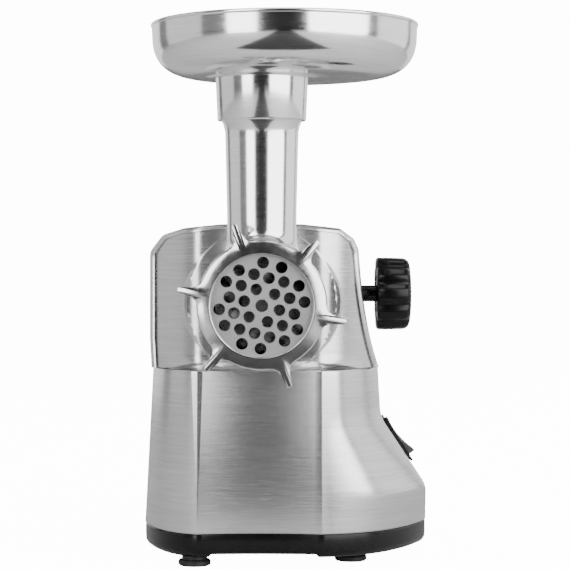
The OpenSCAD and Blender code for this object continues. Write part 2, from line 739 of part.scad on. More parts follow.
module front_panel() color("silver") {
    intersection() {
        housing_skin();
        difference() {
            panel_window(0);
            bar(output_at, body_front_y - 5, 20, nose_front_r);
        }
    }
    intersection() {
        turned(output_at, [[nose_hole_r, face_y], [nose_front_r, face_y], [nose_r - 1, face_y + nose_depth],
            [nose_hole_r, face_y + nose_depth]]);
        above_ledge(ledge_z);
        slab(body_front_y, 0) polygon(inset(front_outline, rim));
    }
}
module rear_cover() color("dimgray") {
    difference() {
        union() {
            intersection() {
                housing_block(0);
                slab(shell_back_y, body_back_y) polygon(front_outline);
            }
            intersection() {
                housing_block(shell_wall + 0.2);
                slab(shell_back_y - lip_h, shell_back_y + 1) difference() {
                    polygon(inset(front_outline, shell_wall + 0.2));
                    polygon(inset(front_outline, shell_wall + 2.2));
                }
            }
            for (spot = cover_screw_spots) bar(spot, shell_back_y - 10, shell_back_y + 1, 5);
        }
        for (i = [0 : vent_count - 1])
            translate([-vent_w / 2, shell_back_y - 1, 55 + vent_pitch * i]) cube([vent_w, 9, 3.5]);
        bar(gland_at, shell_back_y - 1, body_back_y + 1, gland_r);
        for (spot = cover_screw_spots) {
            bar(spot, shell_back_y - 11, body_back_y + 1, 1.6);
            bar(spot, body_back_y - 2, body_back_y + 1, 3.4);
        }
    }
}
module rear_cover_screws() color("gray") {
    for (spot = cover_screw_spots) {
        bar(spot, body_back_y - 2, body_back_y - 0.2, 3.3);
        bar(spot, shell_back_y - 9, body_back_y - 2, 1.6);
    }
}
module cord_gland() color("black") {
    difference() {
        union() {
            bar(gland_at, shell_back_y - 4, body_back_y, gland_r);
            bar(gland_at, shell_back_y - 4, shell_back_y, gland_r + 2.5);
        }
        bar(gland_at, shell_back_y - 5, body_back_y + 1, cord_r);
    }
}
function skirt_inset(i) = skirt_round - sqrt(pow(skirt_round, 2) - pow(skirt_round * (1 - i / slices), 2));
module skirt_body(t) {
    step = skirt_round / slices;
    for (i = [0 : slices - 1]) translate([0, 0, skirt_z + i * step])
        linear_extrude(step) polygon(inset(plan_outline, skirt_inset(i + 0.5) + t));
    translate([0, 0, skirt_z + skirt_round]) linear_extrude(seam_z - skirt_z - skirt_round)
        polygon(inset(plan_outline, t));
}
module base_skirt() color("black") {
    difference() {
        union() {
            difference() {
                skirt_body(0);
                skirt_body(skirt_wall);
            }
            translate([0, 0, seam_z - 1]) linear_extrude(lip_h + 1) intersection() {
                difference() {
                    polygon(inset(plan_outline, shell_wall + 0.5));
                    polygon(inset(plan_outline, shell_wall + 2.6));
                }
                translate([-half_w, body_front_y]) square([body_w, shell_back_y - lip_h - 1 - body_front_y]);
            }
            intersection() {
                skirt_body(0.1);
                for (spot = plate_screw_spots) translate([spot[0], spot[1], plate_top_z]) {
                    cylinder(h = 9, r = 5);
                    reach = spot[1] > 130 ? [8, 16] : [14, 8];
                    side = spot[1] > 130 ? [-4, 0] : [spot[0] > 0 ? 0 : -14, -4];
                    translate([side[0], side[1], 0]) cube([reach[0], reach[1], 9]);
                }
            }
        }
        translate([crease_left + 8, body_front_y - 5, 0]) cube([crease_right - crease_left - 10, 18, 8.6]);
        for (spot = plate_screw_spots) translate([spot[0], spot[1], 0]) cylinder(h = 17, r = 1.6);
    }
}
module bottom_plate() color("black") {
    difference() {
        union() {
            translate([0, 0, plate_z]) linear_extrude(plate_top_z - plate_z)
                polygon(inset(plan_outline, skirt_round + skirt_wall + 0.3));
            for (spot = pillar_spots) translate([spot[0] - 8, spot[1] - 8, plate_top_z - 0.5])
                cube([16, 24, motor_at[1] - stator_half - 6 - plate_top_z + 0.5]);
        }
        for (spot = plate_screw_spots) translate([spot[0], spot[1], plate_z - 1]) cylinder(h = 5, r = 1.6);
        for (spot = foot_spots) translate([spot[0], spot[1], plate_z - 1]) cylinder(h = 5, r = 1.6);
        for (i = [0 : 5]) translate([-30, 10 + 9 * i, plate_z - 1]) cube([50, 3.5, 5]);
    }
}
module motor_cushions() color("black") {
    for (spot = pillar_spots) translate([spot[0] - 7, spot[1] - 7, motor_at[1] - stator_half - 6])
        cube([14, 22, 6]);
}
module foot(spot) {
    difference() {
        translate([spot[0], spot[1], 0]) rotate_extrude() polygon([[0, 0], [8.7, 0], [9.5, 0.8],
            [9.5, 2.6], [8.9, 3.4], [7.4, 3.8], [7.4, plate_z], [0, plate_z]]);
        translate([spot[0], spot[1], -1]) cylinder(h = 4, r = 3.6);
        translate([spot[0], spot[1], 0]) cylinder(h = 10, r = 1.6);
    }
}
module foot_front_left() color("black") foot(foot_spots[0]);
module foot_front_right() color("black") foot(foot_spots[1]);
module foot_rear_left() color("black") foot(foot_spots[2]);
module foot_rear_right() color("black") foot(foot_spots[3]);
module bottom_screws() color("gray") {
    for (spot = foot_spots) translate([spot[0], spot[1], 1.2]) {
        cylinder(h = 1.8, r = 3.4);
        cylinder(h = 11, r = 1.6);
    }
    for (spot = plate_screw_spots) translate([spot[0], spot[1], plate_z - 1.8]) {
        cylinder(h = 1.8, r = 3.4);
        cylinder(h = 11, r = 1.6);
    }
}
module terminal_block() color("ivory") {
    difference() {
        translate([38, 96, plate_top_z]) cube([20, 26, 14]);
        for (i = [0 : 2]) translate([48, 101 + 8 * i, plate_top_z + 6]) cylinder(h = 10, r = 2.4);
    }
}

// ---- switch on the slope ----
switch_y = 30;
bezel_l = 31;
bezel_w = 24;
rocker_l = 25.4;
rocker_w = 18;
pivot_depth = -5;
pivot_r = 1.6;
module switch_body() color("black") {
    switch_place() difference() {
        union() {
            translate([-bezel_l / 2, -bezel_w / 2, 0.3]) cube([bezel_l, bezel_w, 1.6]);
            translate([-13.9, -10.4, -18]) cube([27.8, 20.8, 19]);
        }
        translate([-rocker_l / 2 - 0.8, -rocker_w / 2 - 0.4, -13]) cube([rocker_l + 1.6, rocker_w + 0.8, 20]);
        translate([0, -20, pivot_depth]) rotate([-90, 0, 0]) cylinder(h = 40, r = pivot_r + 0.05);
    }
}
rocker_top = 4.7;
rocker_dip = 1.7;
module switch_rocker() color("dimgray") {
    dish_r = (pow(rocker_l / 2, 2) + pow(rocker_dip, 2)) / (2 * rocker_dip);
    reach = asin(rocker_l / 2 / dish_r);
    outline = concat(arc([0, rocker_top - rocker_dip + dish_r], dish_r, 270 - reach, 270 + reach, 10),
        [[rocker_l / 2 - 0.4, 0], [rocker_l / 2 - 2.5, -4.5], [4, -9], [-4, -9],
         [2.5 - rocker_l / 2, -4.5], [0.4 - rocker_l / 2, 0]]);
    switch_place() translate([0, 0, pivot_depth]) rotate([0, -rocker_tilt, 0])
        translate([0, 0, -pivot_depth]) {
            translate([0, rocker_w / 2, 0]) rotate([90, 0, 0]) linear_extrude(rocker_w) polygon(outline);
            translate([0, -10.2, pivot_depth]) rotate([-90, 0, 0]) cylinder(h = 20.4, r = pivot_r);
        }
}

hopper_tray();
grinding_head();
plate_key();
auger();
thrust_washer();
drive_coupling();
coupling_screw();
cutting_knife();
grinding_plate();
screw_ring();
head_socket();
socket_screws();
output_shaft();
output_gear();
output_front_bush();
output_rear_bush();
second_gear();
second_gear_shaft();
first_gear();
first_gear_shaft();
motor_pinion();
motor_shaft();
rotor_core();
commutator();
cooling_fan();
front_bearing();
rear_bearing();
motor_front_bracket();
motor_rear_bracket();
stator_core();
field_coils();
brush_holders();
carbon_brushes();
brush_springs();
motor_screws();
gearbox_housing();
gearbox_cover();
gearbox_screws();
motor_cushions();
housing_shell();
front_panel();
rear_cover();
base_skirt();
bottom_plate();
bottom_screws();
rear_cover_screws();
cord_gland();
terminal_block();
foot_front_left();
foot_front_right();
foot_rear_left();
foot_rear_right();
switch_body();
switch_rocker();
clamp_knob();
clamp_screw();
clamp_bush();
clamp_pad();
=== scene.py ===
"""Electric meat grinder: final meshes, materials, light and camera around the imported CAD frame."""
import json
import math
import bmesh
import bpy
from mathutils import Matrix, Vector


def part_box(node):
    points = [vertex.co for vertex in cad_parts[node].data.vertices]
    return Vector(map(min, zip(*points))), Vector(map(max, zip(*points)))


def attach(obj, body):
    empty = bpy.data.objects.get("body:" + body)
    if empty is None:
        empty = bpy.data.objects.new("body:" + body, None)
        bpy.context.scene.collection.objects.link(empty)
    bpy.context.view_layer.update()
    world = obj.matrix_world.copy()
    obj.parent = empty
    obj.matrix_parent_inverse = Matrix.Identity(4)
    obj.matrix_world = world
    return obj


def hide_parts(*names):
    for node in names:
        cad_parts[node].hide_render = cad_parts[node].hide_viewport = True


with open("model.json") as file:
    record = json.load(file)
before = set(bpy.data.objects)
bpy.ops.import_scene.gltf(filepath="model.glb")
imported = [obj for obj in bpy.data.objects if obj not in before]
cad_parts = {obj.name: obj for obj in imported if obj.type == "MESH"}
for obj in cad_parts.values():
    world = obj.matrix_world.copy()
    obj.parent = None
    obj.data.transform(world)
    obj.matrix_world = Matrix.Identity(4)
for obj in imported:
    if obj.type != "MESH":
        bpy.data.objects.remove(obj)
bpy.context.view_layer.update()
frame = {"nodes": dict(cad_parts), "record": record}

MM = 0.001
TAU = 2 * math.pi


def corners(node):
    """A node's lowest and highest corners, in millimetres."""
    low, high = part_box(node)
    return Vector(low) / MM, Vector(high) / MM


# ---- places taken from the frame, in millimetres ----
plate_low, plate_high = corners("grinding_plate")
ring_low, ring_high = corners("screw_ring")
tray_low, tray_high = corners("hopper_tray")
head_low, head_high = corners("grinding_head")
shell_low, shell_high = corners("housing_shell")
knob_low, knob_high = corners("clamp_knob")
screw_low = corners("clamp_screw")[0]

# the common axis of plate, ring, head and auger
AXIS_X = (plate_low.x + plate_high.x) / 2
AXIS_Z = 153.5
RING_FRONT = ring_low.y
RING_BACK = ring_high.y
TUBE_Y = (tray_low.y + tray_high.y) / 2
TRAY_X = (tray_low.x + tray_high.x) / 2
HALF_W = shell_high.x
FRONT_Y = shell_low.y
SHELL_BACK = shell_high.y
TOP_Z = shell_high.z
SEAM_Z = 20.0       # where the steel housing meets the skirt
LEDGE_Z = 114.5     # top of the lower housing's front
LEDGE_D = 7.0       # how far the upper face lies behind the lower one
FACE_Y = FRONT_Y + LEDGE_D
CREASE_L = -52.0    # the two upright creases of the lower front
CREASE_R = 20.0
KNOB_Y = (knob_low.y + knob_high.y) / 2
KNOB_Z = (knob_low.z + knob_high.z) / 2


# ---- numbers and curves ----
def lerp(a, b, t):
    return a + (b - a) * t


def smooth(t):
    """An S-shaped step from 0 to 1."""
    t = min(max(t, 0.0), 1.0)
    return t * t * (3 - 2 * t)


def smooth_min(a, b, k):
    """The lower of a and b, with the corner between them rounded over k."""
    h = min(max(0.5 + 0.5 * (b - a) / k, 0.0), 1.0)
    return lerp(b, a, h) - k * h * (1 - h)


def bezier(a, b, c, n):
    """Points on a quadratic curve, both ends included."""
    a, b, c = Vector(a), Vector(b), Vector(c)
    return [a * (1 - t) ** 2 + b * 2 * t * (1 - t) + c * t * t for t in (i / n for i in range(n + 1))]


def circle(radius, n):
    """The (x, y) of n points round a circle."""
    return [(radius * math.cos(TAU * i / n), radius * math.sin(TAU * i / n)) for i in range(n)]


def rounded(points, radii, n):
    """An open path through 2-D points with each inner corner rounded by its radius."""
    points = [Vector(p) for p in points]
    path = [points[0]]
    for before, corner, after, radius in zip(points, points[1:], points[2:], radii):
        if radius <= 0:
            path.append(corner)
            continue
        back, on = before - corner, after - corner
        half = back.angle(on) / 2
        cut = min(radius / math.tan(half), 0.49 * back.length, 0.49 * on.length)
        path += bezier(corner + back.normalized() * cut, corner, corner + on.normalized() * cut, n)
    return path + [points[-1]]


def resample(path, n):
    """n + 1 points at equal steps along a 2-D path."""
    lengths = [0.0]
    for a, b in zip(path, path[1:]):
        lengths.append(lengths[-1] + (Vector(b) - Vector(a)).length)
    out, j = [], 0
    for i in range(n + 1):
        want = lengths[-1] * i / n
        while j < len(path) - 2 and lengths[j + 1] < want:
            j += 1
        span = lengths[j + 1] - lengths[j] or 1.0
        out.append(Vector(path[j]).lerp(Vector(path[j + 1]), (want - lengths[j]) / span))
    return out


# ---- mesh building ----
def make_object(name, bm, sharp):
    """A smooth-shaded object from a bmesh in millimetres, with crisp edges above an angle in degrees."""
    bmesh.ops.remove_doubles(bm, verts=bm.verts, dist=0.005)
    bmesh.ops.recalc_face_normals(bm, faces=bm.faces)
    bmesh.ops.scale(bm, vec=(MM, MM, MM), verts=bm.verts)
    mesh = bpy.data.meshes.new(name)
    bm.to_mesh(mesh)
    bm.free()
    mesh.polygons.foreach_set("use_smooth", [True] * len(mesh.polygons))
    mesh.set_sharp_from_angle(angle=math.radians(sharp))
    obj = bpy.data.objects.new(name, mesh)
    bpy.context.collection.objects.link(obj)
    return obj


def skin(bm, rows, around=False):
    """Quads between rows of points; around closes each row."""
    grid = [[bm.verts.new(p) for p in row] for row in rows]
    count = len(grid[0])
    for a, b in zip(grid, grid[1:]):
        for j in range(count if around else count - 1):
            k = (j + 1) % count
            quad = [a[j], a[k], b[k], b[j]]
            if len({tuple(round(c, 4) for c in v.co) for v in quad}) > 2:
                bm.faces.new(quad)
    return grid


def turn(bm, profile, place, n):
    """Turns a profile of (radius, height) points; place maps (u, v, height) into the frame."""
    rows = [[place(u, v, height) for u, v in circle(radius, n)] for radius, height in profile]
    return skin(bm, rows, around=True)


# places for turn, named by the direction of the turned piece's axis
def upright(x, y):
    return lambda u, v, h: Vector((x + u, y + v, h))


def along_y(x, z):
    return lambda u, v, h: Vector((x + u, h, z + v))


def along_x(y, z):
    return lambda u, v, h: Vector((h, y + u, z + v))


def bevel(obj, width):
    """Softens an object's sharp edges by a width in millimetres."""
    mod = obj.modifiers.new("edges", "BEVEL")
    mod.width = width * MM
    mod.segments = 2
    mod.limit_method = "ANGLE"
    mod.angle_limit = math.radians(35)
    mod.harden_normals = True


def done(obj, body, material, slot, *nodes):
    """Gives a piece its body and its material, and hides the CAD nodes that it stands for; the slot is not
    used.
    """
    obj.data.materials.append(material)
    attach(obj, body)
    if nodes:
        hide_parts(*nodes)


# ---- materials ----
EVEN = (1, 1, 1)    # noise with no stretch


def nodes_of(name):
    """A new material, its node tree and its shader."""
    material = bpy.data.materials.new(name)
    material.use_nodes = True
    tree = material.node_tree
    return material, tree, tree.nodes["Principled BSDF"]


def add_node(tree, kind, **inputs):
    node = tree.nodes.new(kind)
    for key, value in inputs.items():
        node.inputs[key.replace("_", " ")].default_value = value
    return node


def noise(tree, scale, stretch, detail, rough):
    """Noise in the object's own coordinates, with its grain stretched along an axis."""
    coords = tree.nodes.new("ShaderNodeTexCoord")
    mapping = add_node(tree, "ShaderNodeMapping")
    mapping.inputs["Scale"].default_value = stretch
    texture = add_node(tree, "ShaderNodeTexNoise", Scale=scale, Detail=detail, Roughness=rough)
    tree.links.new(coords.outputs["Object"], mapping.inputs["Vector"])
    tree.links.new(mapping.outputs["Vector"], texture.inputs["Vector"])
    return texture.outputs["Fac"]


def ramp(tree, value, low, high, start=0.3, end=0.7):
    """Maps a value to a number or a colour between low and high."""
    node = tree.nodes.new("ShaderNodeMapRange")
    node.inputs["From Min"].default_value = start
    node.inputs["From Max"].default_value = end
    node.inputs["To Min"].default_value = low
    node.inputs["To Max"].default_value = high
    tree.links.new(value, node.inputs["Value"])
    return node.outputs["Result"]


def tint(tree, value, dark, light, start=0.3, end=0.7):
    """Mixes two colours by a value."""
    mix = tree.nodes.new("ShaderNodeMix")
    mix.data_type = "RGBA"
    mix.inputs[6].default_value = (*dark, 1)
    mix.inputs[7].default_value = (*light, 1)
    tree.links.new(ramp(tree, value, 0.0, 1.0, start, end), mix.inputs[0])
    return mix.outputs[2]


def bump(tree, shader, value, distance, strength, under=None):
    """Raises the surface by a value, in metres, over an earlier bump if there is one."""
    node = add_node(tree, "ShaderNodeBump", Strength=strength, Distance=distance)
    tree.links.new(value, node.inputs["Height"])
    if under is not None:
        tree.links.new(under, node.inputs["Normal"])
    tree.links.new(node.outputs["Normal"], shader.inputs["Normal"])
    return node.outputs["Normal"]


def brushed(name, grey, grain, fine, coarse, rough, streak, depth, aniso=0.5):
    """Brushed metal; grain stretches the scratches, and is smallest along their run."""
    material, tree, shader = nodes_of(name)
    shader.inputs["Metallic"].default_value = 1.0
    shader.inputs["Anisotropic"].default_value = aniso
    lines = noise(tree, fine, grain, 3.0, 0.7)
    bands = noise(tree, coarse, grain, 5.0, 0.65)
    clouds = noise(tree, 9.0, EVEN, 3.0, 0.5)
    low, high = [g * (1 - streak) for g in grey], [min(g * (1 + streak), 1.0) for g in grey]
    tree.links.new(tint(tree, bands, low, high, 0.35, 0.65), shader.inputs["Base Color"])
    total = tree.nodes.new("ShaderNodeMath")
    total.operation = "ADD"
    tree.links.new(ramp(tree, lines, rough[0], rough[1]), total.inputs[0])
    tree.links.new(ramp(tree, clouds, -0.02, 0.03), total.inputs[1])
    tree.links.new(total.outputs[0], shader.inputs["Roughness"])
    first = bump(tree, shader, lines, depth, 0.35)
    bump(tree, shader, bands, depth * 2, 0.25, first)
    return material


def plastic(name, colour, rough, grain_scale, depth, specular=0.5):
    """Moulded plastic or rubber with a fine spark-eroded grain and faint dust."""
    material, tree, shader = nodes_of(name)
    shader.inputs["Specular IOR Level"].default_value = specular
    fine = noise(tree, grain_scale, EVEN, 2.0, 0.5)
    clouds = noise(tree, 25.0, EVEN, 4.0, 0.6)
    light = [min(c * 1.5 + 0.004, 1.0) for c in colour]
    tree.links.new(tint(tree, clouds, colour, light, 0.45, 0.85), shader.inputs["Base Color"])
    tree.links.new(ramp(tree, clouds, rough[0], rough[1]), shader.inputs["Roughness"])
    bump(tree, shader, fine, depth, 0.3)
    return material


def metal(name, colour, rough, scale, depth, spread=0.08):
    """Cast, ground or drawn metal with an even grain."""
    material, tree, shader = nodes_of(name)
    shader.inputs["Metallic"].default_value = 1.0
    grain = noise(tree, scale, EVEN, 6.0, 0.65)
    clouds = noise(tree, 30.0, EVEN, 3.0, 0.5)
    low, high = [c * (1 - spread) for c in colour], [min(c * (1 + spread), 1.0) for c in colour]
    tree.links.new(tint(tree, clouds, low, high), shader.inputs["Base Color"])
    tree.links.new(ramp(tree, grain, rough[0], rough[1]), shader.inputs["Roughness"])
    bump(tree, shader, grain, depth, 0.25)
    return material


HOUSING_GRAIN = {"grain": (0.016, 0.016, 1.0), "fine": 3000.0, "coarse": 1300.0, "rough": (0.17, 0.28),
                 "streak": 0.10, "depth": 3e-6}
POLISHED_GRAIN = {"grain": (0.04, 0.04, 1.0), "fine": 2400.0, "coarse": 900.0, "rough": (0.1, 0.19),
                  "depth": 6e-6, "aniso": 0.0}
STEEL = brushed("brushed_housing", (0.60, 0.60, 0.605), **HOUSING_GRAIN)
# the recessed upper face: the housing's brushed steel painted darker, as painted shade on the recess
STEEL_SHADED_FACE = brushed("brushed_panel_painted_shade", (0.55, 0.55, 0.555), **HOUSING_GRAIN)
POLISHED = brushed("polished_tray", (0.80, 0.80, 0.805), streak=0.07, **POLISHED_GRAIN)
TUBE_METAL = brushed("polished_tube", (0.82, 0.82, 0.825), streak=0.05, **POLISHED_GRAIN)
CASTING = metal("tumbled_aluminium", (0.60, 0.60, 0.61), (0.13, 0.2), 300.0, 1.2e-5)
GROUND = metal("ground_plate", (0.56, 0.56, 0.56), (0.34, 0.46), 900.0, 2e-5)
AUGER_METAL = metal("tinned_auger", (0.13, 0.13, 0.135), (0.22, 0.36), 220.0, 5e-5)
KNIFE_METAL = metal("ground_knife", (0.46, 0.46, 0.47), (0.12, 0.22), 700.0, 1e-5)
DARK_METAL = metal("machined_steel", (0.34, 0.34, 0.35), (0.28, 0.42), 600.0, 2e-5)
ZINC = metal("bright_zinc", (0.62, 0.62, 0.65), (0.22, 0.36), 700.0, 1e-5)
BRONZE = metal("sintered_bronze", (0.62, 0.42, 0.19), (0.3, 0.45), 900.0, 2e-5)
COPPER = metal("enamelled_copper", (0.56, 0.24, 0.10), (0.3, 0.4), 1200.0, 6e-5)
NYLON = plastic("natural_nylon", (0.72, 0.70, 0.62), (0.4, 0.55), 900.0, 2e-5)
BLACK = plastic("black_moulding", (0.004, 0.004, 0.0045), (0.14, 0.22), 1400.0, 1.5e-5, specular=0.2)
KNOB_BLACK = plastic("gloss_black_knob", (0.003, 0.003, 0.0033), (0.16, 0.26), 1000.0, 1e-5, specular=0.2)
ROCKER_GREY = plastic("rocker_grey", (0.045, 0.045, 0.048), (0.36, 0.48), 1300.0, 3e-5)
RUBBER = plastic("foot_rubber", (0.010, 0.010, 0.010), (0.42, 0.6), 800.0, 4e-5, specular=0.35)

SLOT_LOOKS = {
    "polished_steel": POLISHED, "brushed_steel": STEEL, "cast_aluminium": CASTING, "plate_steel": GROUND,
    "dark_steel": DARK_METAL, "cast_steel": AUGER_METAL, "zinc_steel": ZINC, "bronze": BRONZE,
    "copper_winding": COPPER, "white_nylon": NYLON, "black_plastic": BLACK, "gloss_black": KNOB_BLACK,
    "grey_plastic": ROCKER_GREY, "black_rubber": RUBBER,
}
slot_of = {part["node"]: part["material_slot"] for part in frame["record"]["subparts"]}
for node_name, node_object in frame["nodes"].items():
    look = SLOT_LOOKS[slot_of[node_name]]
    if not node_object.material_slots:
        node_object.data.materials.append(look)
    for material_slot in node_object.material_slots:
        material_slot.material = look
frame["nodes"]["cutting_knife"].material_slots[0].material = KNIFE_METAL


# ---- hopper tray ----
TRAY_TOP = tray_high.z
TRAY_R = (tray_high.x - tray_low.x) / 2
COLLAR_Z = tray_low.z
FLOOR_Z = 280.5
FLOOR_R = 49        # where the flat floor starts to curve up
FLOOR_DROP = 0.7    # the pressed step round the hole
SHEET = 1.2
BEAD_R = 1.2
HOLE_R = 19.5
TRAY_STEPS = 144


def hopper_tray():
    """The pan, with its beaded rim and its hole over the tube, and the collar below it."""
    bm = bmesh.new()
    outer = bezier((FLOOR_R, FLOOR_Z + 0.1), (72.0, 280.8), (74.0, 299.5), 22)
    outer += [Vector((74.2, 303)), Vector((74.35, TRAY_TOP - 3.2))]
    bead = [Vector((TRAY_R - BEAD_R + BEAD_R * math.cos(a), TRAY_TOP - BEAD_R + BEAD_R * math.sin(a)))
            for a in (math.radians(-60 + 22 * i) for i in range(13))]
    inner = [Vector((74.2 - SHEET, 303)), *reversed(
        bezier((FLOOR_R, FLOOR_Z + SHEET + 0.1), (72.0 - SHEET, 282.2), (74.0 - SHEET, 299.5), 22))]
    grid = turn(bm, outer + bead + inner, upright(TRAY_X, TUBE_Y), TRAY_STEPS)
    for ring, height in ((grid[0], FLOOR_Z), (grid[-1], FLOOR_Z + SHEET)):
        rows = [[v.co.copy() for v in ring]]
        for radius in (44.0, 38.0, 32.5, 31.0, 29.5, 25.0, HOLE_R):
            share = (FLOOR_R - radius) / (FLOOR_R - HOLE_R)
            centre = lerp(TRAY_X, AXIS_X, min(share * 1.6, 1.0))
            drop = -FLOOR_DROP * smooth((32.5 - radius) / 3.0)
            rows.append([Vector((centre + u, TUBE_Y + v, height + drop))
                         for u, v in circle(radius, TRAY_STEPS)])
        skin(bm, rows, around=True)
    hole = [[Vector((AXIS_X + u, TUBE_Y + v, z)) for u, v in circle(HOLE_R, TRAY_STEPS)]
            for z in (FLOOR_Z - FLOOR_DROP, FLOOR_Z + SHEET - FLOOR_DROP)]
    skin(bm, hole, around=True)
    collar = [(26.0, FLOOR_Z - 0.5), (25.9, FLOOR_Z - 2), (24.9, COLLAR_Z + 0.5), (24.7, COLLAR_Z + 0.1),
              (24.4, COLLAR_Z), (23.7, COLLAR_Z), (23.45, COLLAR_Z + 0.3), (24.7, FLOOR_Z - 0.6)]
    turn(bm, collar, upright(AXIS_X, TUBE_Y), 120)
    return make_object("hopper_tray_sheet", bm, 40)


done(hopper_tray(), "tray", POLISHED, "polished_steel", "hopper_tray")


# ---- grinding head ----
BARREL_R = 34.5
THREAD_R = 33.0
SPIGOT_R = 29.7
BORE_R = 27.0
TUBE_R = 19.4
FEED_R = 17.5
TUBE_TOP = head_high.z
BARREL_BACK = -44.3
BORE_BACK = -47
HEAD_BACK = head_high.y
HEAD_FRONT = head_low.y
SEAT_R = plate_high.x - AXIS_X + 0.12   # the recess that holds the plate
SEAT_BACK = plate_high.y + 0.1
JOURNAL_R = 9.0


def grinding_head():
    """The barrel with its outer thread, and the spigot that enters the base."""
    bm = bmesh.new()
    thread = []
    y = HEAD_FRONT + 1.2
    while y < RING_BACK - 1:
        thread += [(THREAD_R - 0.75, y), (THREAD_R - 0.02, y + 0.9), (THREAD_R - 0.02, y + 1.3)]
        y += 2.4
    profile = [(SEAT_R, HEAD_FRONT), (THREAD_R - 0.8, HEAD_FRONT), *thread,
               (THREAD_R, RING_BACK + 0.3), (BARREL_R - 1.2, RING_BACK + 0.8),
               (BARREL_R - 0.3, RING_BACK + 1.2),
               (BARREL_R, RING_BACK + 2.2), (BARREL_R, BARREL_BACK - 1), (BARREL_R - 0.8, BARREL_BACK),
               (SPIGOT_R, BARREL_BACK), (SPIGOT_R, HEAD_BACK - 1.6), (SPIGOT_R - 1.6, HEAD_BACK),
               (JOURNAL_R, HEAD_BACK), (JOURNAL_R, BORE_BACK), (BORE_R, BORE_BACK), (BORE_R, SEAT_BACK),
               (SEAT_R, SEAT_BACK), (SEAT_R, HEAD_FRONT)]
    turn(bm, profile, along_y(AXIS_X, AXIS_Z), 160)
    return make_object("head_barrel", bm, 32)


def feed_tube():
    """The tube, its flared top and the saddle-shaped fillet that joins it to the barrel."""
    bm = bmesh.new()
    n, fillet, rows = 120, 7.0, []

    def saddle(radius, barrel_r, rise):
        """A ring round the tube that lies on a cylinder about the barrel's axis, lifted by rise."""
        rows.append([Vector((AXIS_X + x, TUBE_Y + y, AXIS_Z + math.sqrt(barrel_r ** 2 - x * x) + rise))
                     for x, y in circle(radius, n)])

    for step in range(9):
        t = step / 8 * math.pi / 2
        saddle(TUBE_R + 0.1 + fillet * (1 - math.sin(t)), BARREL_R, fillet * (1 - math.cos(t)) - 0.15)
    for radius, z in ((19.5, 203), (19.75, 215), (20.15, 232), (20.5, 246), (20.65, 250), (20.9, 251.2),
                      (21.7, 254.2), (22.2, 255.4), (22.5, 256.1), (23.05, 256.5), (23.1, 257.4),
                      (23.1, TUBE_TOP - 1), (22.4, TUBE_TOP - 0.2), (21.9, TUBE_TOP),
                      (FEED_R + 0.5, TUBE_TOP), (FEED_R, TUBE_TOP - 0.6)):
        rows.append([Vector((AXIS_X + x, TUBE_Y + y, z)) for x, y in circle(radius, n)])
    saddle(FEED_R, BORE_R, 0.0)
    skin(bm, rows, around=True)
    return make_object("feed_tube", bm, 40)


done(feed_tube(), "head", TUBE_METAL, "polished_steel")
done(grinding_head(), "head", CASTING, "cast_aluminium", "grinding_head")


# ---- screw ring ----
LUGS = 6
LUG_FIRST = 109.0
LUG_TIP = 46.9
RING_R = 35.1
RING_OPEN = 27.9
# one side of a lug: degrees from its middle, and radius
LUG_SIDE = [(12.0, RING_R), (9.0, RING_R + 0.25), (6.6, RING_R + 1.1), (4.9, RING_R + 2.5),
            (3.7, RING_R + 4.4), (2.95, RING_R + 6.6), (2.4, RING_R + 8.6), (1.9, LUG_TIP - 1.2),
            (1.5, LUG_TIP - 0.3)]


def ring_outline():
    """The ring and its lugs seen from the front, as (angle in degrees, radius)."""
    points = []
    for i in range(LUGS):
        middle = LUG_FIRST + 360 * i / LUGS
        points += [(middle - a, r) for a, r in LUG_SIDE]
        points += [(middle - 0.8, LUG_TIP), (middle + 0.8, LUG_TIP)]
        points += [(middle + a, r) for a, r in reversed(LUG_SIDE)]
        span = 360 / LUGS - 2 * LUG_SIDE[0][0]
        points += [(middle + LUG_SIDE[0][0] + span * k / 9, RING_R) for k in range(1, 9)]
    return points


def screw_ring():
    bm = bmesh.new()
    outline = ring_outline()

    def row(y, grow, lug_grow, fixed=None):
        """The outline at depth y, grown on the ring and on the lugs, or a plain circle if fixed."""
        out = []
        for angle, radius in outline:
            r = fixed if fixed else radius + (grow if radius < RING_R + 0.01 else lug_grow)
            a = math.radians(angle)
            out.append(Vector((AXIS_X + r * math.cos(a), y, AXIS_Z + r * math.sin(a))))
        return out

    front, back = RING_FRONT, RING_BACK
    rows = [row(front + 3.6, 0, 0, RING_OPEN + 0.15), row(front + 1.6, 0, 0, RING_OPEN),
            row(front + 0.35, 0, 0, RING_OPEN + 0.2), row(front + 0.1, 0, 0, RING_OPEN + 0.6),
            row(front + 0.15, 0, 0, RING_OPEN + 1.1), row(front + 0.6, 0, 0, RING_OPEN + 3.9),
            row(front + 1.15, -0.6, -0.6), row(front + 1.3, -0.3, -0.3), row(front + 1.6, -0.08, -0.08),
            row(front + 2.3, 0.0, 0.0), row(front + 9.0, 0.45, 0.0), row(back - 2.4, 0.8, 0.0),
            row(back - 1.6, 0.85, -0.2), row(back - 1.2, 0.9, -0.6)]
    for y, spread in ((back - 1.1, 0.95), (back - 0.4, 0.9), (back, 0.3)):
        rows.append(row(y, 0, 0, RING_R + spread))
    rows += [row(back, 0, 0, THREAD_R + 0.9), row(back - 0.8, 0, 0, THREAD_R + 0.15),
             row(plate_low.y - 0.1, 0, 0, THREAD_R + 0.1), row(plate_low.y - 0.1, 0, 0, RING_OPEN + 0.15)]
    skin(bm, rows, around=True)
    return make_object("screw_ring_casting", bm, 50)


done(screw_ring(), "ring", CASTING, "cast_aluminium", "screw_ring")


# ---- clamp knob and its stem ----
KNOB_R = (knob_high.z - knob_low.z) / 2
KNOB_LOBES = 10
LOBE_DEPTH = 2.1
HUB_R = 11.0


